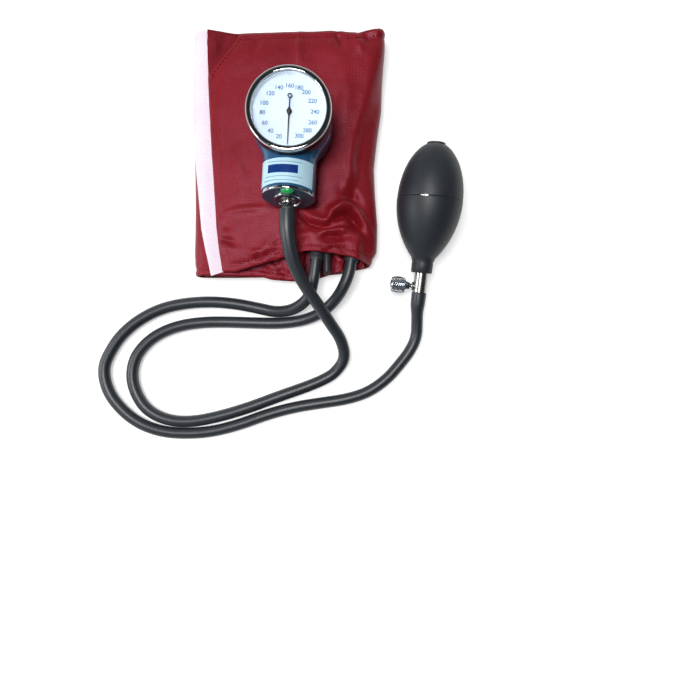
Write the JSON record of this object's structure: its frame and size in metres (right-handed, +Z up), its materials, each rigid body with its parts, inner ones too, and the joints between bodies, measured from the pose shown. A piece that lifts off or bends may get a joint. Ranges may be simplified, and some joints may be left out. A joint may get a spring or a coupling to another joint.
{
  "type": "aneroid sphygmomanometer",
  "caption": "Hand-inflated blood pressure set: folded arm cuff with bladder, dial gauge on a clip, squeeze bulb with release valve, and two rubber hoses.",
  "frame": {"origin": "on the supporting surface, under the middle of the set's outline without its two hoses", "axes": "+Z up, +Y towards the dial's twelve o'clock side, +X towards the bulb"},
  "size_m": [0.2305, 0.2546, 0.0561],
  "materials": {
    "nylon": "coated nylon, satin",
    "nylon_inside": "nylon, matt",
    "loop_tape": "brushed loops",
    "hook_tape": "hooks",
    "bladder_rubber": "satin",
    "blue_paint": "gloss blue enamel",
    "chrome": "polished",
    "crystal": "clear",
    "dial_white": "matt white",
    "pointer_black": "matt black",
    "brass": "turned",
    "steel": "bright",
    "bronze": "formed sheet",
    "label_film": "printed film",
    "seal_green": "gloss",
    "hose_rubber": "satin",
    "bulb_rubber": "satin",
    "o_ring_rubber": "satin",
    "spacer_white": "matt"
  },
  "bodies": {
    "set": {"cuff_outer_panel": "nylon", "cuff_inner_panel": "nylon_inside", "loop_tape": "loop_tape", "hook_tape": "hook_tape", "bladder": "bladder_rubber", "gauge_case": "blue_paint", "neck_cap": "chrome", "nipple_nut": "chrome", "hose_nipple": "chrome", "seal_dot": "seal_green", "neck_label": "label_film", "bezel": "chrome", "crystal": "crystal", "dial_spacer": "spacer_white", "dial": "dial_white", "back_clip": "steel", "clip_screws": "steel", "movement_posts": "brass", "movement_rear_plate": "brass", "plate_pillars": "brass", "movement_front_plate": "brass", "pillar_screws": "steel", "hairspring_stud": "brass", "capsule_base": "brass", "air_pipe": "brass", "bulb": "bulb_rubber", "inlet_valve_body": "chrome", "inlet_filter": "steel", "valve_body": "chrome", "valve_hose_tail": "chrome", "gauge_hose": "hose_rubber", "bulb_hose": "hose_rubber"},
    "pointer_and_pinion": {"pointer": "pointer_black", "pinion_arbor": "steel", "hairspring_collet": "brass", "hairspring": "bronze"},
    "sector": {"sector_gear": "brass"},
    "rocker": {"rocking_shaft": "steel"},
    "capsule_top": {"pressure_capsule": "bronze", "capsule_pin": "brass"},
    "release_seal": {"release_o_ring": "o_ring_rubber"},
    "release_screw": {"release_screw": "chrome"},
    "inlet_ball": {"inlet_ball": "steel"},
    "outlet_ball": {"outlet_ball": "steel"}
  },
  "joints": [
    {"name": "pointer_turn", "type": "hinge", "parent": "set", "child": "pointer_and_pinion", "pos_m": [-0.02, 0.0154, 0.0416], "axis": [0, 0, -1], "range_deg": [0, 336]},
    {"name": "sector_swing", "type": "hinge", "parent": "set", "child": "sector", "pos_m": [-0.00773, 0.02026, 0.0416], "axis": [0, 0, -1], "range_deg": [-33.6, 0], "stiffness_Nm_per_rad": 0.0001},
    {"name": "rocker_swing", "type": "hinge", "parent": "set", "child": "rocker", "pos_m": [-0.01979, 0.01949, 0.0354], "axis": [-0.9986, 0.0523, 0], "range_deg": [0, 20]},
    {"name": "capsule_rise", "type": "slide", "parent": "set", "child": "capsule_top", "axis": [0, 0, 1], "range_m": [0, 0.00143], "deforming": ["pressure_capsule"]},
    {"name": "release_travel", "type": "slide", "parent": "set", "child": "release_seal", "axis": [-0.9954, 0.0958, 0], "range_m": [0, 0.001]},
    {"name": "release_turn", "type": "hinge", "parent": "release_seal", "child": "release_screw", "pos_m": [0.04345, -0.07501, 0.01229], "axis": [-0.9954, 0.0958, 0], "range_deg": [0, 720]},
    {"name": "inlet_ball_lift", "type": "slide", "parent": "set", "child": "inlet_ball", "axis": [0.0947, 0.9831, 0.1564], "range_m": [0, 0.001]},
    {"name": "outlet_ball_lift", "type": "slide", "parent": "set", "child": "outlet_ball", "axis": [0.0947, 0.9831, 0.1564], "range_m": [0, 0.001]}
  ],
  "couplings": [
    {"joint": "pointer_turn", "follows": "sector_swing", "ratio": -10},
    {"joint": "rocker_swing", "follows": "sector_swing", "ratio": -0.59524},
    {"joint": "capsule_rise", "follows": "sector_swing", "m_per_rad": -0.0024384},
    {"joint": "release_turn", "follows": "release_travel", "rad_per_m": 12566}
  ]
}
